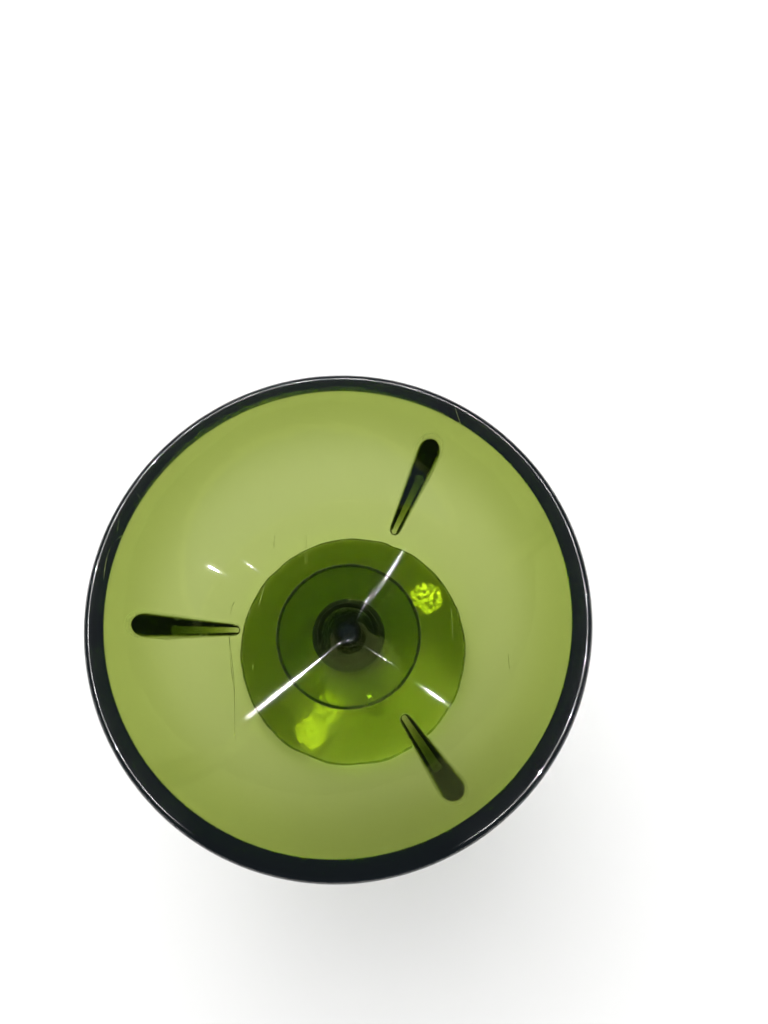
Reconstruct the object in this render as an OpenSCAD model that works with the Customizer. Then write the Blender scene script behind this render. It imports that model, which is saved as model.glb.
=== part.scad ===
// Short-stemmed martini glass in olive-green glass: a flared bowl with three fins
// on its underside, a disc collar, a waisted stem and a round foot.
// Millimetres, +Z up. The origin is the centre of the foot's resting plane.
// The glass is built upwards from the table: foot, stem, collar, bowl.

/* [Bowl] */
// Outside diameter of the lip
rim_d = 114; // [95:1:137]
// Height of the bowl, from the collar to the lip
bowl_h = 57.6; // [48:0.1:69]
// Width of the lip's top, between its two rounded edges' outlines
lip_w = 5.3; // [4.4:0.1:6.2]
// Radius of the lip's outer edge
lip_round = 1.8; // [1.4:0.1:2.2]
// Radius of the lip's inner edge
lip_inner_round = 0.6; // [0.3:0.1:1]
// Thickness of the wall of the straight cone
wall = 4.2; // [3.5:0.1:5]
// How far the wall's inner face rises above the straight cone's line by the lip
lip_lift = 4.8; // [4:0.1:5.8]
// Distance from the outside of the lip in to where the wall's inner face leaves the
// straight cone and steepens
inner_sweep = 21; // [19:0.5:25]
// The same distance for the wall's outer face
outer_sweep = 10; // [9:0.5:12]
// Thickness of the glass under the bowl's lowest point
floor_t = 3.6; // [2.5:0.1:4.5]
// Radius of the bowl's rounded lowest point
tip_round = 6; // [4:0.5:8]

/* [Fins] */
// Number of fins around the bowl
fin_count = 3; // [3:1:3]
// Distance from the outside of the lip in to the fin's blunt outer end
fin_inset = 6; // [4:0.5:8]
// Length of the fin, from its blunt outer end to its thin inner end
fin_l = 22; // [17:0.5:25]
// Thickness of the fin at its outer end
fin_w = 5; // [4:0.1:6]
// Thickness of the fin at its inner end
fin_tip_w = 2.8; // [2:0.1:3.4]
// How far the fin's outer end stands down from the wall
fin_drop = 11.5; // [8:0.5:14]
// How far the fin's inner end stands down from the wall
fin_tip_drop = 0.8; // [0.6:0.1:1.5]

/* [Collar and stem] */
// Diameter of the short neck under the bowl
neck_d = 19; // [16:0.5:23]
// Radius of the fillets from the neck out to the bowl and to the collar
neck_fillet = 3; // [1.5:0.5:3.5]
// Diameter of the disc collar
collar_d = 45.5; // [40:0.5:52]
// Thickness of the disc collar
collar_t = 2.4; // [1.8:0.1:3]
// Height of the stem, from the foot to the collar
stem_h = 33; // [27:0.5:45]
// Diameter of the stem where it meets the collar
stem_top_d = 24; // [20:0.5:29]
// Diameter of the stem at its waist
stem_waist_d = 15.5; // [12:0.5:18.5]
// Diameter of the stem where it meets the foot
stem_base_d = 28; // [23:0.5:34]
// Height of the waist, as a share of the stem's height
waist_place = 0.56; // [0.4:0.01:0.7]

/* [Foot] */
// Diameter of the foot
foot_d = 80; // [70:1:92]
// Thickness of the foot at its rounded edge
foot_edge_t = 4; // [3:0.1:5]
// Height of the foot where the stem stands on it
foot_h = 8; // [6.5:0.1:9.5]
// Width of the flat ring that the foot rests on
rest_w = 5; // [4:0.5:7]
// Depth of the hollow under the foot
hollow_h = 2; // [1:0.1:3]

/* [Hidden] */
$fn = 96;
glass_green = [0.42, 0.52, 0.10, 0.75];

arc_steps = 12;   // straight pieces in one arc of an outline
rim_r = rim_d / 2;
stem_z = foot_h;
collar_z = stem_z + stem_h;
bowl_z = collar_z + collar_t;
rim_z = bowl_z + bowl_h;

// Slope of the straight cone above the horizontal. Its inner face touches the bowl's
// rounded lowest point and, carried on up, passes lip_lift below the lip's inner edge.
tip_centre_z = bowl_z + floor_t + tip_round;
cone_aim = [rim_r - lip_w, rim_z - lip_lift - tip_centre_z];
cone_slope = atan2(cone_aim[1], cone_aim[0]) + asin(tip_round / norm(cone_aim));
// Height at which that inner face, carried on down, meets the axis
apex_z = tip_centre_z - tip_round / cos(cone_slope);
// Unit normal of the cone's wall, from the glass towards the inside of the bowl
cone_normal = [-sin(cone_slope), cos(cone_slope)];
inner_start = [rim_r - inner_sweep, apex_z + (rim_r - inner_sweep) * tan(cone_slope)];
outer_line = inner_start - wall * cone_normal;
outer_start = [rim_r - outer_sweep,
    outer_line[1] + (rim_r - outer_sweep - outer_line[0]) * tan(cone_slope)];

// Distances from the glass's axis to the fin's two ends
fin_out_r = rim_r - fin_inset;
fin_in_r = fin_out_r - fin_l;

// Centres of the lip's two rounded edges
lip_centre = [rim_r - lip_round, rim_z - lip_round];
lip_inner_centre = [rim_r - lip_w + lip_inner_round, rim_z - lip_inner_round];

// Points on an arc about c, from angle a0 to a1.
function arc(c, r, a0, a1) =
    [for (i = [0 : arc_steps])
        let (a = a0 + (a1 - a0) * i / arc_steps)
        c + r * [cos(a), sin(a)]];

// Angle of the line from a to b.
function heading(a, b) = atan2(b[1] - a[1], b[0] - a[0]);

// Radius of the arc that leaves the cone at start, tangent to it, and touches the
// circle of radius edge about edge_centre. The circle lies inside the arc where
// edge is positive, and outside it where edge is negative.
function sweep_r(start, edge_centre, edge) =
    let (d = start - edge_centre)
    (edge * edge - d * d) / (2 * (d * cone_normal + edge));

inner_r = sweep_r(inner_start, lip_inner_centre, -lip_inner_round);
inner_centre = inner_start + inner_r * cone_normal;
inner_end = heading(inner_centre, lip_inner_centre);
outer_r = sweep_r(outer_start, lip_centre, lip_round);
outer_centre = outer_start + outer_r * cone_normal;
outer_end = heading(outer_centre, lip_centre);

// Centres of the neck's upper fillet, which touches the cone's outer face, and of its
// lower one, which touches the collar and is no taller than the neck leaves room for
fillet_r = neck_d / 2 + neck_fillet;
fillet_z = outer_start[1] - (outer_start[0] - fillet_r) * tan(cone_slope)
    - neck_fillet / cos(cone_slope);
low_fillet = min(neck_fillet, fillet_z - bowl_z);
low_centre = [neck_d / 2 + low_fillet, bowl_z + low_fillet];

// The bowl's inner face, from the axis up to the lip.
function inner_face() = concat(
    arc([0, tip_centre_z], tip_round, -90, cone_slope - 90),
    arc(inner_centre, inner_r, cone_slope - 90, inner_end));

// The bowl's outer face, from the lip down to the bottom of its neck.
function outer_face() = concat(
    arc(outer_centre, outer_r, outer_end, cone_slope - 90),
    arc([fillet_r, fillet_z], neck_fillet, 90 + cone_slope, 180),
    arc(low_centre, low_fillet, 180, 270));

// The lip, from its inner edge over the top to its outer edge.
function lip() = concat(
    arc(lip_inner_centre, lip_inner_round, inner_end + 180, 90),
    arc(lip_centre, lip_round, 90, outer_end));

// Height of the bowl's outer face at radius r, on its swept part or its cone.
function outer_z(r) = r > outer_start[0]
    ? outer_centre[1] - sqrt(outer_r * outer_r - pow(r - outer_centre[0], 2))
    : outer_start[1] - (outer_start[0] - r) * tan(cone_slope);

module bowl() {
    color(glass_green)
        rotate_extrude()
            polygon(concat(inner_face(), lip(), outer_face(), [[0, bowl_z]]));
}

// The bowl with its inside filled, which the fins are cut to fit.
module filled_bowl() {
    rotate_extrude()
        polygon(concat([[0, rim_z]], lip(), outer_face(), [[0, bowl_z]]));
}

// The fin from above: a blunt outer end that tapers to a thin inner end.
module fin_plan() {
    big = fin_w / 2;
    small = fin_tip_w / 2;
    far = fin_out_r - big;
    near = fin_in_r + small;
    lean = asin((big - small) / (far - near));
    translate([far, 0]) circle(r = big);
    translate([near, 0]) circle(r = small);
    polygon([
        [near - small * sin(lean), -small * cos(lean)],
        [far - big * sin(lean), -big * cos(lean)],
        [far - big * sin(lean), big * cos(lean)],
        [near - small * sin(lean), small * cos(lean)]]);
}

// The fin from the side. Its top runs inside the wall, and the bowl cuts it off.
module fin_side() {
    sunk = wall / 2;
    polygon([
        [fin_in_r, outer_z(fin_in_r) - fin_tip_drop],
        [fin_out_r, outer_z(fin_out_r) - fin_drop],
        [fin_out_r, outer_z(fin_out_r) + sunk],
        [fin_in_r, outer_z(fin_in_r) + sunk]]);
}

module fin(turn) {
    color(glass_green)
        rotate([0, 0, turn])
            difference() {
                intersection() {
                    linear_extrude(rim_z) fin_plan();
                    rotate([90, 0, 0])
                        linear_extrude(fin_w + 1, center = true) fin_side();
                }
                filled_bowl();
            }
}

module collar() {
    edge = collar_t / 2;
    color(glass_green)
        rotate_extrude()
            polygon(concat(
                [[0, collar_z]],
                arc([collar_d / 2 - edge, collar_z + edge], edge, -90, 90),
                [[0, bowl_z]]));
}

// The stem's outline eases out of its waist towards both ends, steeper at the ends.
module stem() {
    waist_z = stem_z + stem_h * waist_place;
    waist_r = stem_waist_d / 2;
    color(glass_green)
        rotate_extrude()
            polygon(concat(
                [[0, stem_z]],
                [for (i = [0 : arc_steps])
                    let (s = 1 - i / arc_steps)
                    [waist_r + (stem_base_d / 2 - waist_r) * pow(s, 3),
                     waist_z + (stem_z - waist_z) * s]],
                [for (i = [1 : arc_steps])
                    let (s = i / arc_steps)
                    [waist_r + (stem_top_d / 2 - waist_r) * pow(s, 3),
                     waist_z + (collar_z - waist_z) * s]],
                [[0, collar_z]]));
}

// The foot is a low cone with a round edge. The hollow under it is a shallow dome,
// and it rests on the flat ring around that.
module foot() {
    edge = foot_edge_t / 2;
    edge_centre = [foot_d / 2 - edge, edge];
    hollow_r = edge_centre[0] - rest_w;
    dome_r = (hollow_r * hollow_r + hollow_h * hollow_h) / (2 * hollow_h);
    dome_edge = asin(hollow_r / dome_r);
    slope = heading([edge_centre[0], foot_edge_t], [stem_base_d / 2, foot_h]) - 90;
    color(glass_green)
        rotate_extrude()
            polygon(concat(
                arc([0, hollow_h - dome_r], dome_r, 90, 90 - dome_edge),
                arc(edge_centre, edge, -90, slope),
                [[stem_base_d / 2, foot_h], [0, foot_h]]));
}

foot();
stem();
collar();
bowl();
for (i = [1 : fin_count])
    fin(180 - (i - 1) * 360 / fin_count);
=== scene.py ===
import math

import bmesh
import bpy
import numpy as np
from bpy.props import FloatProperty, FloatVectorProperty, IntProperty, PointerProperty
from mathutils import Matrix, Vector


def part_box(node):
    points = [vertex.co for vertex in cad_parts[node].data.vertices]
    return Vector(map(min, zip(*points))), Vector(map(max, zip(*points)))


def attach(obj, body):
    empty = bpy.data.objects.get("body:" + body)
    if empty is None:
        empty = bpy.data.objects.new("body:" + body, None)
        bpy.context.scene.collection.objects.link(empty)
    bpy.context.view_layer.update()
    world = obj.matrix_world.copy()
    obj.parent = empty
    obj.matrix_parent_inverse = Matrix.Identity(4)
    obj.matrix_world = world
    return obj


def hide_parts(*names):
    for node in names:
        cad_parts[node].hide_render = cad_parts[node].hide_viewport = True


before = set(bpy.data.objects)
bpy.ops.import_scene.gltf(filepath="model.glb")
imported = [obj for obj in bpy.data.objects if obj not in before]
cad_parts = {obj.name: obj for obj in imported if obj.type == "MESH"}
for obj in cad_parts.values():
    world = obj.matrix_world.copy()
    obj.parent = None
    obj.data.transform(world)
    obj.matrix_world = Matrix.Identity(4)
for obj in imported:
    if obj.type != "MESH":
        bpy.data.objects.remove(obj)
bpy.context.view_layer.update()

bl_info = {
    "name": "Short-Stemmed Martini Glass",
    "version": (1, 0, 0),
    "blender": (4, 5, 0),
    "location": "3D View > Sidebar > Glass",
    "description": "Builds a pressed olive-green martini glass on its frame, and a plain studio",
    "category": "Add Mesh",
}

TURN = 2 * math.pi
# Upright rows of small lights, which the bowl's inner face mirrors as streaks: name,
# azimuth, lowest and highest elevation (degrees), the radii of the face that they light,
# and the width of the lights in degrees
STREAKS = (
    ("left_streak", 50, -0.4, 6.6, 0.001, 0.031, 1.3),
    ("right_streak", 222.5, 7.9, 10.8, 0.012, 0.0235, 1.3),
    ("short_streak", 229, 6.6, 7.2, 0.0068, 0.0102, 0.6),
    ("point_glint", 262, 20, 21, -0.004, 0.010, 1.2),
    ("left_glint", 342, 15.3, 15.8, 0.034, 0.038, 0.9),
    ("left_dash", 331.2, 14, 14.1, 0.0275, 0.0295, 0.4),
    ("right_glint", 134.5, 1.6, 2.4, 0.0272, 0.0298, 0.8),
    ("bar_glint", 136, -2.3, -2.2, 0.0090, 0.0115, 0.8),
)
# Pools of light on the floor under the foot, where the glass gathers it: azimuth in
# degrees, distance from the axis as a share of the foot, radius, and share of the power
POOLS = (
    (30, 0.80, 0.0058, 1.0),
    (242, 0.80, 0.0058, 1.0),
    (247, 0.55, 0.0026, 0.7),
)
FINS = ("fin_1", "fin_2", "fin_3")
# Air left between two pieces where they are fused, so that their faces never coincide
SEAM_GAP = 0.00001
# Name of the points' attribute that holds the distance past a fused face
JOINT = "joint"
# Most that an outline's points lie apart
OUTLINE_STEP = 0.001
# Points closer together than this are one point
SAME_POINT = 1e-7
# Height of the surface's soft ripples in a bump, and roughness of the polished skin
RIPPLE_BUMP = 0.00002
COAT_ROUGHNESS = 0.06
# Distance of the small lights from the glass or the floor that they light
LIGHT_AWAY = 0.6
# Radius of the foot's glow as a share of the foot
GLOW_SHARE = 1.14
# Elevations between which the room goes from its wall's light to its ceiling's
ROOM_FADE = (math.radians(40), math.radians(62))
# Angles from the window's direction at which it ends, and within which it is full
WINDOW_FADE = (math.radians(45), math.radians(10))
# Depth below the lip down to which its polish is worn
LIP_WEAR = 0.0014


def low(node):
    """Height of a frame node's bottom."""
    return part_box(node)[0][2]


def high(node):
    """Height of a frame node's top."""
    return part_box(node)[1][2]


def reach(node):
    """Radius of a round frame node about the glass's axis."""
    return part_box(node)[1][0]


# Sizes ---------------------------------------------------------------------------


def size(name, description, default):
    """A length that a user can change, in metres."""
    return FloatProperty(
        name=name, description=description, default=default, min=0, unit="LENGTH", precision=5
    )


class BowlSizes(bpy.types.PropertyGroup):
    """Sizes of the bowl that the frame's box doesn't give."""

    wall: size("Wall", "Thickness of the wall of the straight cone", 0.0042)
    lip_width: size("Lip width", "Width of the lip's top", 0.0053)
    lip_round: size("Lip round", "Radius of the lip's outer edge", 0.0018)
    lip_inner_round: size("Inner lip round", "Radius of the lip's inner edge", 0.0006)
    lip_lift: size("Lip lift", "Rise of the inner face above the cone's line by the lip", 0.0048)
    inner_sweep: size("Inner sweep", "From the lip in to where the inner face steepens", 0.021)
    outer_sweep: size("Outer sweep", "From the lip in to where the outer face steepens", 0.01)
    floor_thickness: size("Floor", "Thickness of the glass under the bowl's point", 0.0036)
    tip_round: size("Point round", "Radius of the bowl's rounded lowest point", 0.006)
    neck_radius: size("Neck radius", "Radius of the neck under the bowl", 0.0095)
    neck_fillet: size("Neck fillet", "Radius of the neck's two fillets", 0.003)
    ripple: size("Ripple", "Height of the soft ripples in the outer face", 0.00003)
    seam_height: size("Seam height", "Height of the mould seams above the fins", 0.00012)
    seam_width: size("Seam width", "Half width of a mould seam", 0.0003)


class FinSizes(bpy.types.PropertyGroup):
    """Sizes of a fin. Its two ends and its depth come from the frame."""

    outer_width: size("Outer width", "Thickness at the blunt outer end", 0.005)
    inner_width: size("Inner width", "Thickness at the thin inner end", 0.0028)
    flare: size("Flare", "Radius of the fillet to the bowl at the outer end", 0.0012)
    inner_flare: size("Inner flare", "Radius of that fillet at the inner end", 0.0005)
    least_depth: size("Least depth", "Depth of the fin at its inner end", 0.0008)
    end_round: size("End round", "Radius of the lower corner of the outer end", 0.0025)


class StemSizes(bpy.types.PropertyGroup):
    """Sizes of the stem and the foot that the frame's boxes don't give."""

    top_radius: size("Stem top", "Radius of the stem where it meets the collar", 0.012)
    waist_radius: size("Waist", "Radius of the stem at its waist", 0.00775)
    waist_place: FloatProperty(
        name="Waist place", description="Height of the waist as a share of the stem", default=0.56
    )
    foot_edge: size("Foot edge", "Thickness of the foot at its rounded edge", 0.004)
    rest_width: size("Rest width", "Width of the flat ring that the foot rests on", 0.005)
    hollow: size("Hollow", "Depth of the hollow under the foot", 0.002)


class GlassFinish(bpy.types.PropertyGroup):
    """Colour and surface of the glass."""

    tint: FloatVectorProperty(
        name="Tint",
        description="Colour that the glass keeps as light goes through it",
        default=(0.534, 0.614, 0.0),
        subtype="COLOR",
        size=3,
        min=0,
        max=1,
    )
    # Painted shade: colour of the dark line painted along the rounded edges of the collar and the
    # foot, where the glass looks dark
    edge_shade_colour: FloatVectorProperty(
        name="Edge colour",
        description="Colour of the dark line along the edges of the collar and the foot",
        default=(0.16, 0.22, 0.1),
        subtype="COLOR",
        size=3,
    )
    depth: FloatProperty(
        name="Depth of colour", description="Absorption per metre of glass", default=440
    )
    ior: FloatProperty(name="IOR", description="Refractive index of the glass", default=1.52)
    polish: FloatProperty(
        name="Polish", description="Share of the fire-polished skin over the glass", default=0.25
    )
    shine: FloatProperty(
        name="Roughness", description="Roughness of the worn parts of the surface", default=0.03
    )


class StudioSettings(bpy.types.PropertyGroup):
    """Floor, lights and camera."""

    floor_width: size("Floor width", "Side of the square floor", 6.0)
    floor_gap: size("Floor gap", "Air between the foot and the floor", 0.00005)
    floor_colour: FloatVectorProperty(
        name="Floor colour",
        description="Colour of the floor",
        default=(0.86, 0.86, 0.855),
        subtype="COLOR",
        size=3,
    )
    wall_light: FloatProperty(
        name="Wall light", description="Brightness of the room near the horizon", default=0.85
    )
    ceiling_light: FloatProperty(
        name="Ceiling light", description="Brightness of the room overhead", default=0.12
    )
    gloss_light: FloatProperty(
        name="Gloss light", description="Brightness of the room in reflections", default=0.22
    )
    gloss_colour: FloatVectorProperty(
        name="Gloss colour", description="Colour of the room in reflections",
        default=(0.65, 0.85, 1.0), subtype="COLOR", size=3
    )
    window_light: FloatProperty(
        name="Window light", description="Brightness of the soft window", default=3.8
    )
    window_azimuth: FloatProperty(
        name="Window azimuth", description="Direction of the soft window",
        default=math.radians(102), subtype="ANGLE"
    )
    window_height: FloatProperty(
        name="Window height", description="Elevation of the soft window",
        default=math.radians(50), subtype="ANGLE"
    )
    streak_power: FloatProperty(
        name="Streak power", description="Power of a light one degree wide", default=1.1,
        subtype="POWER"
    )
    lip_power: FloatProperty(
        name="Lip power", description="Power of each light over the lip", default=12,
        subtype="POWER"
    )
    glow_colour: FloatVectorProperty(
        name="Glow colour",
        description="Colour of the light that has come down through the glass",
        default=(0.72, 0.88, 0.1),
        subtype="COLOR",
        size=3,
    )
    pool_colour: FloatVectorProperty(
        name="Pool colour", description="Colour of the small pools of light",
        default=(0.95, 1.0, 0.22), subtype="COLOR", size=3
    )
    foot_glow: FloatProperty(
        name="Foot glow", description="Power of the light under the foot", default=3,
        subtype="POWER"
    )
    pool_glow: FloatProperty(
        name="Pool glow", description="Power of the small pools of light", default=130,
        subtype="POWER"
    )
    lens: FloatProperty(name="Lens", description="Focal length in millimetres", default=27.07)
    camera_place: FloatVectorProperty(
        name="Camera place",
        description="Where the camera stands",
        default=(0.0079, -0.0253, 0.2723),
        subtype="TRANSLATION",
        size=3,
    )
    camera_target: FloatVectorProperty(
        name="Camera target",
        description="Where the camera looks",
        default=(0.0122, 0.0354, 0.05),
        subtype="TRANSLATION",
        size=3,
    )
    camera_roll: FloatProperty(
        name="Camera roll",
        description="Turn of the camera about its line of sight",
        default=math.radians(1.2),
        subtype="ANGLE",
    )


class MartiniGlassSettings(bpy.types.PropertyGroup):
    """Everything that a user would change."""

    bowl: PointerProperty(type=BowlSizes, name="Bowl", description="Sizes of the bowl")
    fin: PointerProperty(type=FinSizes, name="Fins", description="Sizes of the fins")
    stem: PointerProperty(type=StemSizes, name="Stem", description="Sizes of stem and foot")
    finish: PointerProperty(type=GlassFinish, name="Finish", description="Colour and surface")
    studio: PointerProperty(type=StudioSettings, name="Studio", description="Floor and lights")
    turns: IntProperty(
        name="Turns", description="Columns of faces round a turned piece", default=240, min=24
    )


# Outlines --------------------------------------------------------------------------


def arc(centre, radius, start, end, steps=16):
    """Points (r, z) on a circle: centre + radius * (cos a, sin a), a from start to end."""
    a = np.linspace(start, end, steps + 1)
    return np.column_stack([centre[0] + radius * np.cos(a), centre[1] + radius * np.sin(a)])


def heading(a, b):
    """Angle of the line from point a to point b."""
    return math.atan2(b[1] - a[1], b[0] - a[0])


def finely(outline, step):
    """The outline with points added evenly along each line that is longer than step."""
    runs = []
    for a, b in zip(outline[:-1], outline[1:]):
        count = max(1, math.ceil(np.linalg.norm(b - a) / step))
        runs.append(a + (b - a) * (np.arange(count) / count)[:, None])
    return np.vstack(runs + [outline[-1:]])


def without_repeats(outline):
    """The outline without points that lie on the one before."""
    far = np.linalg.norm(np.diff(outline, axis=0), axis=1) > SAME_POINT
    return outline[np.concatenate([[True], far])]


class BowlShape:
    """The bowl's section: a cone from a rounded point, which an arc steepens up to the
    lip. Each wall face is the cone's line and an arc tangent to it and to the lip. The
    cone's slope is the one that touches the point's circle and passes below the lip."""

    def __init__(self, s):
        self.s = s
        self.base_z = low("bowl") + SEAM_GAP
        self.rim_z = high("bowl")
        self.rim_r = reach("bowl")
        self.tip_z = low("bowl") + s.floor_thickness + s.tip_round
        aim = (self.rim_r - s.lip_width, self.rim_z - s.lip_lift - self.tip_z)
        self.slope = math.atan2(aim[1], aim[0]) + math.asin(s.tip_round / math.hypot(*aim))
        self.normal = np.array([-math.sin(self.slope), math.cos(self.slope)])
        self.inner_start = self.on_cone(self.rim_r - s.inner_sweep, 0)
        self.outer_start = self.on_cone(self.rim_r - s.outer_sweep, s.wall)
        self.lip_centre = np.array([self.rim_r - s.lip_round, self.rim_z - s.lip_round])
        self.lip_inner_centre = np.array(
            [self.rim_r - s.lip_width + s.lip_inner_round, self.rim_z - s.lip_inner_round]
        )
        self.inner_r = self.sweep(self.inner_start, self.lip_inner_centre, -s.lip_inner_round)
        self.inner_centre = self.inner_start + self.inner_r * self.normal
        self.outer_r = self.sweep(self.outer_start, self.lip_centre, s.lip_round)
        self.outer_centre = self.outer_start + self.outer_r * self.normal

    def on_cone(self, r, depth):
        """The point at radius r on the cone's line, at that depth below its inner face."""
        below = (self.s.tip_round + depth) / math.cos(self.slope)
        return np.array([r, self.tip_z - below + r * math.tan(self.slope)])

    def sweep(self, start, edge_centre, edge):
        """Radius of the arc tangent to the cone at start that touches the lip's edge."""
        d = start - edge_centre
        return (edge * edge - d @ d) / (2 * (d @ self.normal + edge))

    def outer_z(self, r):
        """Height of the outer face at radius r: the cone's line, then the arc."""
        r = np.asarray(r)
        line = self.outer_start[1] - (self.outer_start[0] - r) * math.tan(self.slope)
        inside = np.maximum(self.outer_r**2 - (r - self.outer_centre[0]) ** 2, 0)
        return np.where(r > self.outer_start[0], self.outer_centre[1] - np.sqrt(inside), line)

    def outline(self):
        """(inner face and lip, outer face, base) from the axis round to the axis again."""
        s = self.s
        lean = self.slope - math.pi / 2
        inner_end = heading(self.inner_centre, self.lip_inner_centre)
        outer_end = heading(self.outer_centre, self.lip_centre)
        inner = np.vstack([
            arc((0, self.tip_z), s.tip_round, -math.pi / 2, lean),
            arc(self.inner_centre, self.inner_r, lean, inner_end, 40),
            arc(self.lip_inner_centre, s.lip_inner_round, inner_end + math.pi, math.pi / 2, 10),
            arc(self.lip_centre, s.lip_round, math.pi / 2, outer_end, 20),
        ])
        fillet_r = s.neck_radius + s.neck_fillet
        fillet_z = self.outer_z(fillet_r) - s.neck_fillet / math.cos(self.slope)
        outer = np.vstack([
            arc(self.outer_centre, self.outer_r, outer_end, lean, 44),
            arc((fillet_r, fillet_z), s.neck_fillet, math.pi / 2 + self.slope, math.pi),
            arc((fillet_r, self.base_z + s.neck_fillet), s.neck_fillet, math.pi, 1.5 * math.pi),
        ])
        base = np.array([[fillet_r, self.base_z], [0, self.base_z]])
        return inner, outer, base


# Meshes ------------------------------------------------------------------------------


def piece(name, verts, faces, joint, nodes, material):
    """A smooth mesh from arrays, which rides on the body and stands for its frame nodes."""
    mesh = bpy.data.meshes.new(name)
    mesh.from_pydata(verts.tolist(), [], faces)
    stored = mesh.attributes.new(JOINT, "FLOAT", "POINT")
    stored.data.foreach_set("value", joint.astype(np.float32))
    bm = bmesh.new()
    bm.from_mesh(mesh)
    bmesh.ops.remove_doubles(bm, verts=bm.verts, dist=SAME_POINT)
    bmesh.ops.dissolve_degenerate(bm, edges=bm.edges, dist=1e-8)
    bmesh.ops.recalc_face_normals(bm, faces=bm.faces)
    open_edges = sum(not e.is_manifold for e in bm.edges)
    bm.to_mesh(mesh)
    bm.free()
    if open_edges:
        raise RuntimeError(f"{name} isn't closed: {open_edges} open edges")
    mesh.shade_smooth()
    mesh.set_sharp_from_angle(angle=math.radians(38))
    obj = bpy.data.objects.new(name, mesh)
    bpy.context.scene.collection.objects.link(obj)
    obj.visible_shadow = False
    mesh.materials.append(material)
    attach(obj, "root")
    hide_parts(*nodes)
    return obj


def turned(outline, azimuths, shift=None):
    """Vertices and faces of an outline (r, z) turned about Z. Its ends lie on the axis.
    A vertex is (r cos a, r sin a, z). shift(r, z, a) moves it out from the axis."""
    rings = outline[1:-1]
    r, a = np.meshgrid(rings[:, 0], azimuths, indexing="ij")
    z = np.repeat(rings[:, 1:2], len(azimuths), axis=1)
    if shift is not None:
        r = r + shift(r, z, a)
    ring_verts = np.stack([r * np.cos(a), r * np.sin(a), z], axis=-1).reshape(-1, 3)
    poles = np.array([[0, 0, outline[0, 1]], [0, 0, outline[-1, 1]]])
    columns = len(azimuths)
    here = np.arange(columns)
    beside = np.roll(here, -1)
    start = (np.arange(len(rings) - 1) * columns)[:, None]
    quads = np.stack(
        [start + here, start + beside, start + columns + beside, start + columns + here], axis=-1
    ).reshape(-1, 4)
    first, last = len(ring_verts), len(ring_verts) + 1
    end = (len(rings) - 1) * columns
    caps = np.vstack([
        np.column_stack([np.full(columns, first), beside, here]),
        np.column_stack([np.full(columns, last), end + here, end + beside]),
    ])
    return np.vstack([ring_verts, poles]), quads.tolist() + caps.tolist()


def even_turns(count):
    """Azimuths spaced evenly round the axis."""
    return np.arange(count) * TURN / count


def fin_azimuths():
    """The three fins' azimuths, from the middles of their boxes."""
    middles = [(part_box(n)[0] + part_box(n)[1]) / 2 for n in FINS]
    return np.array([math.atan2(m[1], m[0]) for m in middles])


def turns_with_seams(count, seams):
    """Even azimuths, with finer ones that close in on each seam."""
    spread = math.radians(6.5) * np.linspace(0, 1, 15) ** 1.5
    near = np.concatenate([-spread[:0:-1], spread])
    coarse = even_turns(count)
    gap = np.abs((coarse[:, None] - seams + math.pi) % TURN - math.pi).min(axis=1)
    fine = (seams[:, None] + near).ravel() % TURN
    return np.sort(np.concatenate([coarse[gap > spread[-1] * 1.1], fine]))


def disc_joint(verts, height, radius):
    """Distance past the edge of a fused disc at that height: below 0 on the disc."""
    r = np.hypot(verts[:, 0], verts[:, 1])
    on_face = np.abs(verts[:, 2] - height) < 2 * SEAM_GAP
    return np.where(on_face, r - radius, 1.0)


# Fins --------------------------------------------------------------------------------


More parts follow.
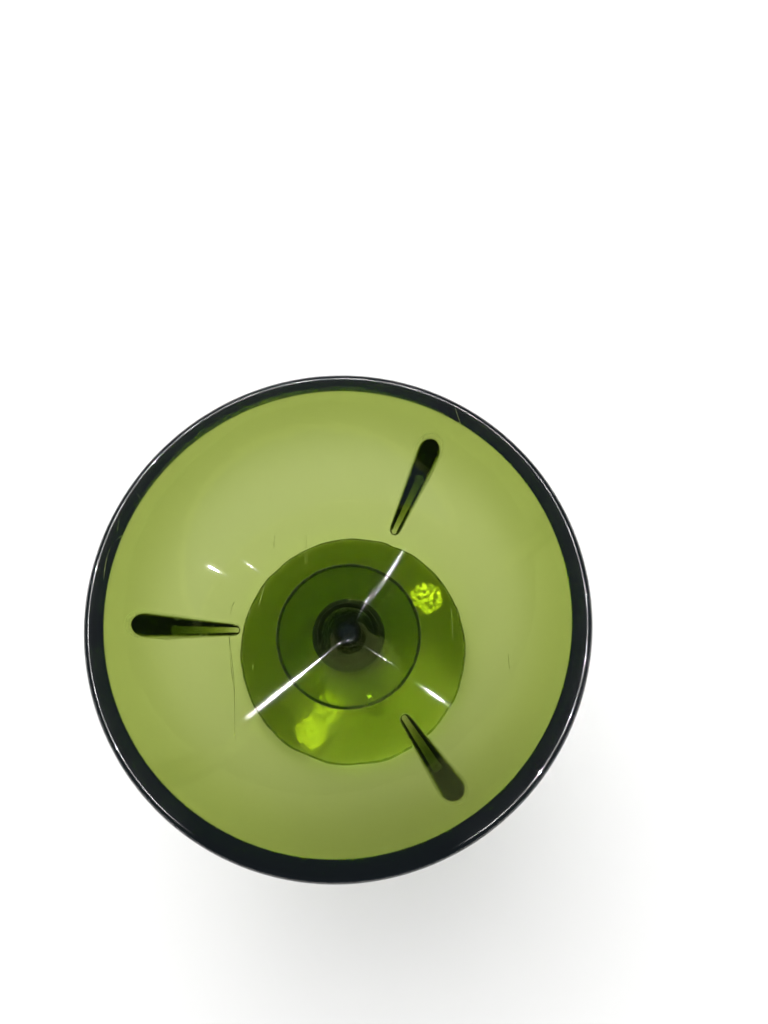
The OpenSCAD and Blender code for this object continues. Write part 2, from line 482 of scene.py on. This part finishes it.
class FinShape:
    """A fin in its own frame, X out from the glass's axis. From below it is a tapered
    capsule: a point is centre(t) + k * side, with half width w(t) between round ends."""

    def __init__(self, s, bowl):
        self.s = s
        self.bowl = bowl
        corner_low, corner_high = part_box(FINS[0])
        self.out_r = -corner_low[0]
        self.in_r = -corner_high[0]
        self.low_z = corner_low[2]
        self.big = s.outer_width / 2
        self.small = s.inner_width / 2
        self.far = self.out_r - self.big
        self.near = self.in_r + self.small
        self.lean = math.asin((self.big - self.small) / (self.far - self.near))

    def half_width(self, t):
        """Half width at share t of the way out."""
        return self.small + (self.big - self.small) * t

    def flare(self, t):
        """Radius of the fillet to the bowl at share t of the way out."""
        return self.s.inner_flare + (self.s.flare - self.s.inner_flare) * t

    def beyond(self, x, y):
        """Distance from (x, y) to the outline of the fin's root: below 0 inside it."""
        along = x + np.abs(y) * math.tan(self.lean)
        t = np.clip((along - self.near) / (self.far - self.near), 0, 1)
        k = np.hypot(x - (self.near + (self.far - self.near) * t), y)
        return k - self.half_width(t) - self.flare(t)

    def bottom_z(self, x):
        """Height of the lower edge: a line from the bowl out and down to the fin's lowest
        point, with a quarter circle up at the outer end."""
        top = self.bowl.outer_z(self.in_r) - self.s.least_depth
        line = top + (self.low_z - top) * (x - self.in_r) / (self.out_r - self.in_r)
        radius = self.s.end_round
        past = np.clip(x - (self.out_r - radius), 0, radius)
        least = self.bowl.outer_z(x) - self.s.least_depth
        return np.minimum(line + radius - np.sqrt(radius**2 - past**2), least)

    def surface(self, around=48, across=9):
        """Grid of points (around, section, 3) and the matching joint distances."""
        cap = math.pi / 2 + self.lean
        outer_turn = np.linspace(-cap, cap, around)
        inner_turn = np.linspace(cap, TURN - cap, around // 2)
        t_side = np.linspace(1, 0, around)[1:-1]
        t = np.concatenate([
            np.ones(around), t_side, np.zeros(around // 2), t_side[::-1],
        ])
        turn = np.concatenate([
            outer_turn, np.full(len(t_side), cap), inner_turn, np.full(len(t_side), -cap),
        ])
        centre_x = (self.near + (self.far - self.near) * t)[:, None]
        side = np.column_stack([np.cos(turn), np.sin(turn)])
        w = self.half_width(t)[:, None]
        f = self.flare(t)[:, None]

        def place(k):
            x = centre_x + k * side[:, :1]
            y = k * side[:, 1:]
            return x, y, self.bowl.outer_z(np.hypot(x, y))

        share = np.linspace(0, 1, across)[None]
        root_k = (w + f) * share
        root_x, root_y, root_z = place(root_k)
        angle = np.linspace(0, math.pi / 2, across)[None, 1:]
        fillet_x, fillet_y, fillet_z = place(w + f - f * np.sin(angle))
        fillet_z = fillet_z - f * (1 - np.cos(angle))
        draft = 0.88
        side_top = fillet_z[:, -1:]
        edge_x, edge_y, _ = place(w * draft)
        edge_round = np.minimum(w * draft, 0.8 * (side_top - self.bottom_z(edge_x)))
        side_low = self.bottom_z(edge_x) + edge_round
        down = np.linspace(0, 1, across)[None, 1:]
        side_x, side_y, _ = place(w * (1 - (1 - draft) * down))
        side_z = side_top + (side_low - side_top) * down
        bend = np.linspace(0, math.pi / 2, across)[None, 1:]
        bend_x, bend_y, _ = place(w * draft - edge_round * (1 - np.cos(bend)))
        bend_z = self.bottom_z(bend_x) + edge_round * (1 - np.sin(bend))
        flat = np.linspace(1, 0, across)[None, 1:]
        flat_x, flat_y, _ = place((w * draft - edge_round) * flat)
        x = np.hstack([root_x, fillet_x, side_x, bend_x, flat_x])
        y = np.hstack([root_y, fillet_y, side_y, bend_y, flat_y])
        z = np.hstack([
            root_z - SEAM_GAP, fillet_z - SEAM_GAP, side_z, bend_z, self.bottom_z(flat_x),
        ])
        joint = np.ones_like(x)
        joint[:, :across] = root_k - (w + f)
        return np.stack([x, y, z], axis=-1), joint


def closed_grid(points):
    """Faces of a grid of points (around, section) that closes on itself around."""
    around, sections = points.shape[:2]
    index = np.arange(around * sections).reshape(around, sections)
    beside = np.roll(index, -1, axis=0)
    quads = np.stack(
        [index[:, :-1], index[:, 1:], beside[:, 1:], beside[:, :-1]], axis=-1
    ).reshape(-1, 4)
    return quads.tolist()


# Material ----------------------------------------------------------------------------


def painted_edge_shade(tree, place, surface, finish, radius, width, raggedness):
    """Painted shade: darkens the glass's base colour past a radius, in a dark line along a
    disc's rounded edge where the glass looks dark. Noise moves the line in and out, which makes
    it ragged."""
    add = tree.nodes.new
    link = tree.links.new
    flat = add("ShaderNodeVectorMath")
    flat.operation = "MULTIPLY"
    flat.inputs[1].default_value = (1, 1, 0)
    length = add("ShaderNodeVectorMath")
    length.operation = "LENGTH"
    rough = add("ShaderNodeTexNoise")
    rough.label = "Ragged edge"
    rough.inputs["Scale"].default_value = 700
    rough.inputs["Detail"].default_value = 3
    moved = add("ShaderNodeMath")
    moved.operation = "MULTIPLY_ADD"
    moved.inputs[1].default_value = raggedness
    inside = add("ShaderNodeMapRange")
    inside.inputs["From Min"].default_value = radius - 1.25 * width + raggedness / 2
    inside.inputs["From Max"].default_value = radius - width + raggedness / 2
    # Painted shade: the dark line's colour goes into the glass's base colour
    shade = add("ShaderNodeMix")
    shade.data_type = "RGBA"
    shade.label = "Dark line along the edge"
    shade.inputs["A"].default_value = (1, 1, 1, 1)
    shade.inputs["B"].default_value = (*finish.edge_shade_colour, 1)
    link(place.outputs["Object"], flat.inputs[0])
    link(flat.outputs[0], length.inputs[0])
    link(place.outputs["Object"], rough.inputs["Vector"])
    link(rough.outputs["Fac"], moved.inputs[0])
    link(length.outputs["Value"], moved.inputs[2])
    link(moved.outputs[0], inside.inputs["Value"])
    link(inside.outputs[0], shade.inputs["Factor"])
    link(shade.outputs["Result"], surface.inputs["Base Color"])


def scratches(tree, place):
    """Height of hairline scratches: thin contour lines of a slow, stretched noise, kept
    only where another slow noise is high."""
    add = tree.nodes.new
    link = tree.links.new
    stretched = add("ShaderNodeMapping")
    stretched.inputs["Rotation"].default_value = (0.3, 0.2, 0.9)
    stretched.inputs["Scale"].default_value = (70, 16, 40)
    slow = add("ShaderNodeTexNoise")
    slow.label = "Hairline scratches"
    slow.inputs["Scale"].default_value = 1
    slow.inputs["Detail"].default_value = 1
    off = add("ShaderNodeMath")
    off.operation = "SUBTRACT"
    off.inputs[1].default_value = 0.5
    away = add("ShaderNodeMath")
    away.operation = "ABSOLUTE"
    line = add("ShaderNodeMapRange")
    line.inputs["From Max"].default_value = 0.0035
    line.inputs["To Min"].default_value = 1
    line.inputs["To Max"].default_value = 0
    patches = add("ShaderNodeTexNoise")
    patches.label = "Where the scratches are"
    patches.inputs["Scale"].default_value = 50
    sparse = add("ShaderNodeMapRange")
    sparse.inputs["From Min"].default_value = 0.54
    sparse.inputs["From Max"].default_value = 0.6
    both = add("ShaderNodeMath")
    both.operation = "MULTIPLY"
    link(place.outputs["Object"], stretched.inputs["Vector"])
    link(stretched.outputs["Vector"], slow.inputs["Vector"])
    link(slow.outputs["Fac"], off.inputs[0])
    link(off.outputs[0], away.inputs[0])
    link(away.outputs[0], line.inputs["Value"])
    link(place.outputs["Object"], patches.inputs["Vector"])
    link(patches.outputs["Fac"], sparse.inputs["Value"])
    link(line.outputs[0], both.inputs[0])
    link(sparse.outputs[0], both.inputs[1])
    return both.outputs[0]


def glass_material(name, finish, ripple_size, ripple_height, scratched=False, edge=None,
                   worn_from=None):
    """Clear glass, coloured by absorption in its depth. The surface has soft ripples and
    faint wear, and it doesn't bend light where it is fused to its neighbour. edge is the
    radius, width and raggedness of a painted shade: a dark line along a disc's rounded
    edge, where the glass looks dark. The polish is dulled above the height worn_from."""
    material = bpy.data.materials.new(name)
    material.use_nodes = True
    tree = material.node_tree
    tree.nodes.clear()
    add = tree.nodes.new
    link = tree.links.new
    out = add("ShaderNodeOutputMaterial")
    surface = add("ShaderNodeBsdfPrincipled")
    surface.inputs["Base Color"].default_value = (1, 1, 1, 1)
    surface.inputs["Transmission Weight"].default_value = 1
    surface.inputs["IOR"].default_value = finish.ior
    surface.inputs["Coat Weight"].default_value = finish.polish
    surface.inputs["Coat Roughness"].default_value = COAT_ROUGHNESS
    link(surface.outputs["BSDF"], out.inputs["Surface"])

    depth = add("ShaderNodeVolumeAbsorption")
    depth.inputs["Color"].default_value = (*finish.tint, 1)
    depth.inputs["Density"].default_value = finish.depth
    link(depth.outputs["Volume"], out.inputs["Volume"])

    joint = add("ShaderNodeAttribute")
    joint.attribute_name = JOINT
    joint.label = "Distance past the fused face"
    fused = add("ShaderNodeMath")
    fused.operation = "GREATER_THAN"
    fused.inputs[1].default_value = -0.000001
    link(joint.outputs["Fac"], fused.inputs[0])
    bending = add("ShaderNodeMapRange")
    bending.label = "No bending where it is fused"
    bending.inputs["To Min"].default_value = 1.0
    bending.inputs["To Max"].default_value = finish.ior
    link(fused.outputs[0], bending.inputs["Value"])
    link(bending.outputs[0], surface.inputs["IOR"])

    place = add("ShaderNodeTexCoord")
    ripples = add("ShaderNodeTexNoise")
    ripples.label = "Soft ripples"
    ripples.inputs["Scale"].default_value = 1 / ripple_size
    ripples.inputs["Detail"].default_value = 1.5
    link(place.outputs["Object"], ripples.inputs["Vector"])
    if worn_from is not None:
        height = add("ShaderNodeSeparateXYZ")
        worn_lip = add("ShaderNodeMapRange")
        worn_lip.label = "Coat is worn on the lip"
        worn_lip.inputs["From Min"].default_value = worn_from
        worn_lip.inputs["From Max"].default_value = worn_from + 0.0002
        worn_lip.inputs["To Min"].default_value = COAT_ROUGHNESS
        worn_lip.inputs["To Max"].default_value = 0.2
        link(place.outputs["Object"], height.inputs["Vector"])
        link(height.outputs["Z"], worn_lip.inputs["Value"])
        link(worn_lip.outputs[0], surface.inputs["Coat Roughness"])
    bump = add("ShaderNodeBump")
    bump.inputs["Strength"].default_value = 1
    bump.inputs["Distance"].default_value = ripple_height
    link(ripples.outputs["Fac"], bump.inputs["Height"])
    if scratched:
        scratch_bump = add("ShaderNodeBump")
        scratch_bump.inputs["Strength"].default_value = 1
        scratch_bump.inputs["Distance"].default_value = 0.00003
        scratch_bump.invert = True
        link(scratches(tree, place), scratch_bump.inputs["Height"])
        link(bump.outputs["Normal"], scratch_bump.inputs["Normal"])
        bump = scratch_bump
    link(bump.outputs["Normal"], surface.inputs["Normal"])
    # Painted shade along a disc's rounded edge
    if edge is not None:
        painted_edge_shade(tree, place, surface, finish, *edge)

    wear = add("ShaderNodeTexNoise")
    wear.label = "Faint wear"
    wear.inputs["Scale"].default_value = 60
    wear.inputs["Detail"].default_value = 6
    link(place.outputs["Object"], wear.inputs["Vector"])
    worn = add("ShaderNodeMapRange")
    worn.inputs["From Min"].default_value = 0.55
    worn.inputs["From Max"].default_value = 0.8
    worn.inputs["To Max"].default_value = finish.shine
    link(wear.outputs["Fac"], worn.inputs["Value"])
    link(worn.outputs[0], surface.inputs["Roughness"])
    return material


def floor_material(colour):
    """Smooth pale board with a faint mottle."""
    material = bpy.data.materials.new("pale_board")
    material.use_nodes = True
    tree = material.node_tree
    surface = tree.nodes["Principled BSDF"]
    surface.inputs["Roughness"].default_value = 0.85
    surface.inputs["Specular IOR Level"].default_value = 0.2
    place = tree.nodes.new("ShaderNodeTexCoord")
    mottle = tree.nodes.new("ShaderNodeTexNoise")
    mottle.inputs["Scale"].default_value = 14
    mottle.inputs["Detail"].default_value = 4
    shade = tree.nodes.new("ShaderNodeMapRange")
    shade.inputs["To Min"].default_value = 0.985
    shade.inputs["To Max"].default_value = 1.0
    tinted = tree.nodes.new("ShaderNodeVectorMath")
    tinted.operation = "SCALE"
    tinted.inputs[0].default_value = colour
    tree.links.new(place.outputs["Object"], mottle.inputs["Vector"])
    tree.links.new(mottle.outputs["Fac"], shade.inputs["Value"])
    tree.links.new(shade.outputs[0], tinted.inputs["Scale"])
    tree.links.new(tinted.outputs[0], surface.inputs["Base Color"])
    return material


# Operators ---------------------------------------------------------------------------


def settings():
    """The scene's settings for the glass."""
    return bpy.context.scene.martini_glass


class GLASS_OT_bowl(bpy.types.Operator):
    """Add the bowl: a thick cone with a rounded lip, fin seams and a short neck"""

    bl_idname = "martini.bowl"
    bl_label = "Add Bowl"

    def execute(self, context):
        s = settings()
        shape = BowlShape(s.bowl)
        fin = FinShape(s.fin, shape)
        seams = fin_azimuths()
        inner, outer, base = shape.outline()
        outline = finely(without_repeats(np.vstack([inner, outer, base])), OUTLINE_STEP)
        outline[0, 0] = outline[-1, 0] = 0

        def own_turn(a):
            """Azimuth from the nearest fin."""
            off = (a[..., None] - seams + math.pi) % TURN - math.pi
            nearest = np.abs(off).argmin(axis=-1)[..., None]
            return np.take_along_axis(off, nearest, axis=-1)[..., 0]

        def shift(r, z, a):
            """Ripples are sines of azimuth and height, and a seam is a narrow bell curve.
            Both are on the outer face only, and fade out at the fins and the neck."""
            is_outer = np.abs(z - shape.outer_z(r)) < 1e-5
            own = own_turn(a)
            clear = np.clip(fin.beyond(r * np.cos(own), r * np.sin(own)) / 0.003, 0, 1)
            level = clear * np.clip((r - 0.02) / 0.006, 0, 1) * is_outer
            waves = np.sin(7 * a + 160 * z) + np.sin(17 * a - 310 * z + 1.3) + np.sin(29 * a + 2)
            seam = np.exp(-((own * r / s.bowl.seam_width) ** 2))
            past_fin = np.clip((r - fin.out_r) / 0.001, 0, 1) * is_outer
            return level * s.bowl.ripple * waves / 3 + s.bowl.seam_height * seam * past_fin

        turns = turns_with_seams(s.turns, seams)
        verts, faces = turned(outline, turns, shift)
        joint = disc_joint(verts, shape.base_z, outer[-1, 0])
        r = np.hypot(verts[:, 0], verts[:, 1])
        own = own_turn(np.arctan2(verts[:, 1], verts[:, 0]))
        on_outer = np.abs(verts[:, 2] - shape.outer_z(r)) < 0.0004
        root = fin.beyond(r * np.cos(own), r * np.sin(own))
        joint = np.where(on_outer & (verts[:, 2] > outer[-1, 1] + 0.006), root, joint)
        material = glass_material(
            "bowl_green", s.finish, 0.006, RIPPLE_BUMP, scratched=True,
            worn_from=high("bowl") - LIP_WEAR,
        )
        piece("bowl", verts, faces, joint, ["bowl"], material)
        return {"FINISHED"}


class GLASS_OT_fins(bpy.types.Operator):
    """Add the three fins under the bowl, each fused to its wall"""

    bl_idname = "martini.fins"
    bl_label = "Add Fins"

    def execute(self, context):
        s = settings()
        shape = FinShape(s.fin, BowlShape(s.bowl))
        points, joint = shape.surface()
        faces = closed_grid(points)
        material = glass_material("fin_green", s.finish, 0.005, RIPPLE_BUMP)
        for name, azimuth in zip(FINS, fin_azimuths()):
            c, v = math.cos(azimuth), math.sin(azimuth)
            turn = np.array([[c, v, 0], [-v, c, 0], [0, 0, 1]])
            verts = points.reshape(-1, 3) @ turn
            piece(name, verts, faces, joint.ravel(), [name], material)
        return {"FINISHED"}


class GLASS_OT_collar(bpy.types.Operator):
    """Add the disc collar between the bowl and the stem"""

    bl_idname = "martini.collar"
    bl_label = "Add Collar"

    def execute(self, context):
        s = settings()
        bottom, top = low("collar") + SEAM_GAP, high("collar")
        edge = (top - bottom) / 2
        rim = arc((reach("collar") - edge, bottom + edge), edge, -math.pi / 2, math.pi / 2, 20)
        outline = finely(np.vstack([[[0, bottom]], rim, [[0, top]]]), OUTLINE_STEP)
        verts, faces = turned(outline, even_turns(s.turns))
        above = disc_joint(verts, top, s.bowl.neck_radius + s.bowl.neck_fillet)
        below = disc_joint(verts, bottom, s.stem.top_radius)
        # The collar's rounded edge gets a line of painted shade
        material = glass_material(
            "collar_green", s.finish, 0.007, RIPPLE_BUMP, edge=(reach("collar"), 0.0009, 0.0001)
        )
        joint = np.minimum(above, below)
        piece("collar", verts, faces, joint, ["collar"], material)
        return {"FINISHED"}


class GLASS_OT_stem(bpy.types.Operator):
    """Add the waisted stem"""

    bl_idname = "martini.stem"
    bl_label = "Add Stem"

    def execute(self, context):
        s = settings()
        bottom, top = low("stem") + SEAM_GAP, high("stem")
        waist_z = bottom + (top - bottom) * s.stem.waist_place
        base_r = reach("stem")
        waist_r = s.stem.waist_radius
        down = np.linspace(1, 0, 40)
        up = np.linspace(0, 1, 32)[1:]
        r = np.concatenate([
            waist_r + (base_r - waist_r) * down**3,
            waist_r + (s.stem.top_radius - waist_r) * up**3,
        ])
        z = np.concatenate([waist_z + (bottom - waist_z) * down, waist_z + (top - waist_z) * up])
        ends = np.array([[0, bottom]]), np.array([[0, top]])
        outline = finely(np.vstack([ends[0], np.column_stack([r, z]), ends[1]]), OUTLINE_STEP)
        verts, faces = turned(outline, even_turns(s.turns))
        joint = np.minimum(
            disc_joint(verts, bottom, base_r), disc_joint(verts, top, s.stem.top_radius)
        )
        material = glass_material("stem_green", s.finish, 0.007, RIPPLE_BUMP)
        piece("stem", verts, faces, joint, ["stem"], material)
        return {"FINISHED"}


class GLASS_OT_foot(bpy.types.Operator):
    """Add the round foot: a low cone on a flat ring round a shallow hollow"""

    bl_idname = "martini.foot"
    bl_label = "Add Foot"

    def execute(self, context):
        s = settings()
        radius, top = reach("foot"), high("foot")
        edge = s.stem.foot_edge / 2
        edge_centre = (radius - edge, edge)
        hollow_r = edge_centre[0] - s.stem.rest_width
        hollow = s.stem.hollow
        dome_r = (hollow_r**2 + hollow**2) / (2 * hollow)
        dome_edge = math.asin(hollow_r / dome_r)
        base_r = reach("stem")
        slope = heading((edge_centre[0], s.stem.foot_edge), (base_r, top)) - math.pi / 2
        up = math.pi / 2
        outline = np.vstack([
            arc((0, hollow - dome_r), dome_r, up, up - dome_edge, 30),
            arc(edge_centre, edge, -up, slope, 24),
            [[base_r, top], [0, top]],
        ])
        outline = finely(without_repeats(outline), OUTLINE_STEP)
        outline[0, 0] = 0
        verts, faces = turned(outline, even_turns(s.turns))
        joint = disc_joint(verts, top, base_r)
        # The foot's rounded edge gets a ragged line of painted shade
        material = glass_material(
            "foot_green", s.finish, 0.008, 0.00003, edge=(radius, 0.0007, 0.0008)
        )
        piece("foot", verts, faces, joint, ["foot"], material)
        return {"FINISHED"}


def placed_light(data, place, aim):
    """The light as an object at place that faces aim, with its local Y as upright as can be."""
    obj = bpy.data.objects.new(data.name, data)
    facing = (Vector(aim) - Vector(place)).to_track_quat("-Z", "Y").to_matrix().to_4x4()
    obj.matrix_world = Matrix.Translation(place) @ facing
    bpy.context.scene.collection.objects.link(obj)
    return obj


def streak_lights(name, azimuth, lowest, highest, near, far, width, shape, s):
    """An upright row of small spots on a circle round the bowl. Each has its elevation,
    and lights the inner face across the axis, from radius near to far."""
    away = LIGHT_AWAY
    spacing = 2 * away * math.tan(math.radians(width / 2))
    middle_r, middle_z = shape.on_cone((near + far) / 2, 0).tolist()
    bottom, top = (
        middle_z + (away + middle_r) * math.tan(math.radians(a)) for a in (lowest, highest)
    )
    out = Vector((math.cos(math.radians(azimuth)), math.sin(math.radians(azimuth)), 0))
    aim = Vector((0, 0, middle_z)) - middle_r * out
    for i in range(1 + round((top - bottom) / spacing)):
        data = bpy.data.lights.new(f"{name}_{i}", "SPOT")
        data.shadow_soft_size = spacing / 2
        data.spot_size = 2 * math.atan((far - near) / 2 / away)
        data.spot_blend = 0.15
        data.energy = s.streak_power * width**2
        obj = placed_light(data, away * out + Vector((0, 0, bottom + i * spacing)), aim)
        obj.visible_camera = False
        obj.visible_diffuse = False
        obj.visible_transmission = False


def floor_spot(name, place, radius, power, s, broken=False):
    """A round pool of light on the floor about place (x, y). It has the green of light
    that has come down through the glass. A broken one is yellower and cut up by noise."""
    above = LIGHT_AWAY
    data = bpy.data.lights.new(name, "SPOT")
    data.spot_size = 2 * math.atan(radius / above)
    data.spot_blend = 0.25
    data.shadow_soft_size = 0.0004 if broken else 0.002
    data.color = s.pool_colour if broken else s.glow_colour
    data.energy = power
    if broken:
        data.use_nodes = True
        tree = data.node_tree
        where = tree.nodes.new("ShaderNodeTexCoord")
        grain = tree.nodes.new("ShaderNodeTexNoise")
        grain.inputs["Scale"].default_value = 560
        grain.inputs["Detail"].default_value = 4
        grain.inputs["Roughness"].default_value = 0.7
        cut = tree.nodes.new("ShaderNodeMapRange")
        cut.inputs["From Min"].default_value = 0.5
        cut.inputs["From Max"].default_value = 0.57
        tree.links.new(where.outputs["Normal"], grain.inputs["Vector"])
        tree.links.new(grain.outputs["Fac"], cut.inputs["Value"])
        tree.links.new(cut.outputs[0], tree.nodes["Emission"].inputs["Strength"])
    obj = placed_light(data, (*place, above), (*place, 0))
    obj.visible_glossy = False


def lip_lights(shape, s):
    """A ring of spots that draws a thin bright line along the lip's outer round. Each
    stands where the round, at that tilt, mirrors it up to the camera's place. The ring
    is open on the near side."""
    away = LIGHT_AWAY
    tilt = math.radians(9)
    eye = Vector(s.camera_place)
    for i, azimuth in enumerate(range(-56, 238, 14)):
        a = math.radians(azimuth)
        lip = Vector((shape.rim_r * math.cos(a), shape.rim_r * math.sin(a), shape.rim_z))
        sight = (eye - lip).normalized()
        lean = math.sin(tilt)
        normal = Vector((lean * math.cos(a), lean * math.sin(a), math.cos(tilt)))
        data = bpy.data.lights.new(f"lip_light_{i}", "SPOT")
        data.shadow_soft_size = 0.003
        data.spot_size = 2 * math.atan(0.01 / away)
        data.spot_blend = 0.5
        data.energy = s.lip_power
        obj = placed_light(data, lip + away * (2 * normal.dot(sight) * normal - sight), lip)
        obj.visible_camera = False
        obj.visible_diffuse = False
        obj.visible_transmission = False


class GLASS_OT_studio(bpy.types.Operator):
    """Add the pale floor, the soft room, the small lights and the camera"""

    bl_idname = "martini.studio"
    bl_label = "Add Studio"

    def execute(self, context):
        s = settings().studio
        self.add_floor(s)
        self.add_room(s)
        shape = BowlShape(settings().bowl)
        for streak in STREAKS:
            streak_lights(*streak, shape, s)
        lip_lights(shape, s)
        floor_spot("foot_glow", (0, 0), GLOW_SHARE * reach("foot"), s.foot_glow, s)
        for i, (azimuth, share, radius, part) in enumerate(POOLS):
            a = math.radians(azimuth)
            r = share * reach("foot")
            place = (r * math.cos(a), r * math.sin(a))
            floor_spot(f"pool_{i}", place, radius, part * s.pool_glow, s, broken=True)
        self.add_camera(s)
        scene = bpy.context.scene
        scene.view_settings.view_transform = "Standard"
        scene.cycles.max_bounces = 32
        scene.cycles.transmission_bounces = 32
        scene.cycles.glossy_bounces = 12
        return {"FINISHED"}

    def add_floor(self, s):
        """A square floor under the foot."""
        half = s.floor_width / 2
        mesh = bpy.data.meshes.new("floor")
        top = -s.floor_gap
        corners = [(-half, -half, top), (half, -half, top), (half, half, top), (-half, half, top)]
        mesh.from_pydata(corners, [], [(0, 1, 2, 3)])
        mesh.materials.append(floor_material(s.floor_colour))
        floor = bpy.data.objects.new("floor", mesh)
        bpy.context.scene.collection.objects.link(floor)

    def add_room(self, s):
        """A room that is bright near the horizon and dark overhead, with a soft window.
        The window is a smooth patch about its direction. Reflections see an even room."""
        world = bpy.data.worlds.new("room")
        bpy.context.scene.world = world
        world.use_nodes = True
        world.cycles.sampling_method = "NONE"
        tree = world.node_tree
        background = tree.nodes["Background"]
        where = tree.nodes.new("ShaderNodeTexCoord")
        split = tree.nodes.new("ShaderNodeSeparateXYZ")
        level = tree.nodes.new("ShaderNodeMapRange")
        level.interpolation_type = "SMOOTHSTEP"
        level.inputs["From Min"].default_value = math.sin(ROOM_FADE[0])
        level.inputs["From Max"].default_value = math.sin(ROOM_FADE[1])
        level.inputs["To Min"].default_value = s.wall_light
        level.inputs["To Max"].default_value = s.ceiling_light
        towards = tree.nodes.new("ShaderNodeVectorMath")
        towards.operation = "DOT_PRODUCT"
        flat = math.cos(s.window_height)
        towards.inputs[1].default_value = (
            flat * math.cos(s.window_azimuth),
            flat * math.sin(s.window_azimuth),
            math.sin(s.window_height),
        )
        window = tree.nodes.new("ShaderNodeMapRange")
        window.interpolation_type = "SMOOTHSTEP"
        window.inputs["From Min"].default_value = math.cos(WINDOW_FADE[0])
        window.inputs["From Max"].default_value = math.cos(WINDOW_FADE[1])
        window.inputs["To Max"].default_value = s.window_light
        both = tree.nodes.new("ShaderNodeMath")
        path = tree.nodes.new("ShaderNodeLightPath")
        seen = tree.nodes.new("ShaderNodeMix")
        seen.inputs["B"].default_value = s.gloss_light
        hue = tree.nodes.new("ShaderNodeMix")
        hue.data_type = "RGBA"
        hue.inputs["A"].default_value = (1, 1, 1, 1)
        hue.inputs["B"].default_value = (*s.gloss_colour, 1)
        link = tree.links.new
        link(where.outputs["Generated"], split.inputs["Vector"])
        link(split.outputs["Z"], level.inputs["Value"])
        link(where.outputs["Generated"], towards.inputs[0])
        link(towards.outputs["Value"], window.inputs["Value"])
        link(level.outputs[0], both.inputs[0])
        link(window.outputs[0], both.inputs[1])
        link(path.outputs["Is Glossy Ray"], seen.inputs["Factor"])
        link(both.outputs[0], seen.inputs["A"])
        link(seen.outputs["Result"], background.inputs["Strength"])
        link(path.outputs["Is Glossy Ray"], hue.inputs["Factor"])
        link(hue.outputs["Result"], background.inputs["Color"])

    def add_camera(self, s):
        """The camera looks down into the bowl."""
        camera = bpy.data.cameras.new("camera")
        camera.lens = s.lens
        camera.clip_start = 0.01
        obj = bpy.data.objects.new("camera", camera)
        sight = Vector(s.camera_target) - Vector(s.camera_place)
        facing = sight.to_track_quat("-Z", "Y").to_matrix().to_4x4()
        roll = Matrix.Rotation(s.camera_roll, 4, "Z")
        obj.matrix_world = Matrix.Translation(s.camera_place) @ facing @ roll
        bpy.context.scene.collection.objects.link(obj)
        bpy.context.scene.camera = obj


class GLASS_PT_panel(bpy.types.Panel):
    """The glass's operators and sizes in the 3D view's sidebar"""

    bl_idname = "GLASS_PT_panel"
    bl_label = "Martini Glass"
    bl_space_type = "VIEW_3D"
    bl_region_type = "UI"
    bl_category = "Glass"

    def draw(self, context):
        s = settings()
        for operator in OPERATORS:
            self.layout.operator(operator.bl_idname)
        for group in (s.bowl, s.fin, s.stem, s.finish, s.studio):
            box = self.layout.box()
            for name in group.bl_rna.properties.keys():
                if name not in ("rna_type", "name"):
                    box.prop(group, name)


OPERATORS = (GLASS_OT_bowl, GLASS_OT_fins, GLASS_OT_collar, GLASS_OT_stem, GLASS_OT_foot,
             GLASS_OT_studio)
GROUPS = (BowlSizes, FinSizes, StemSizes, GlassFinish, StudioSettings, MartiniGlassSettings)


def register():
    """Registers the settings, the operators and the panel."""
    for item in GROUPS + OPERATORS + (GLASS_PT_panel,):
        bpy.utils.register_class(item)
    bpy.types.Scene.martini_glass = PointerProperty(type=MartiniGlassSettings)


def unregister():
    """Undoes register."""
    del bpy.types.Scene.martini_glass
    for item in reversed(GROUPS + OPERATORS + (GLASS_PT_panel,)):
        bpy.utils.unregister_class(item)


def main():
    """Builds every piece in order."""
    register()
    bpy.ops.martini.bowl()
    bpy.ops.martini.fins()
    bpy.ops.martini.collar()
    bpy.ops.martini.stem()
    bpy.ops.martini.foot()
    bpy.ops.martini.studio()


if __name__ == "__main__":
    main()
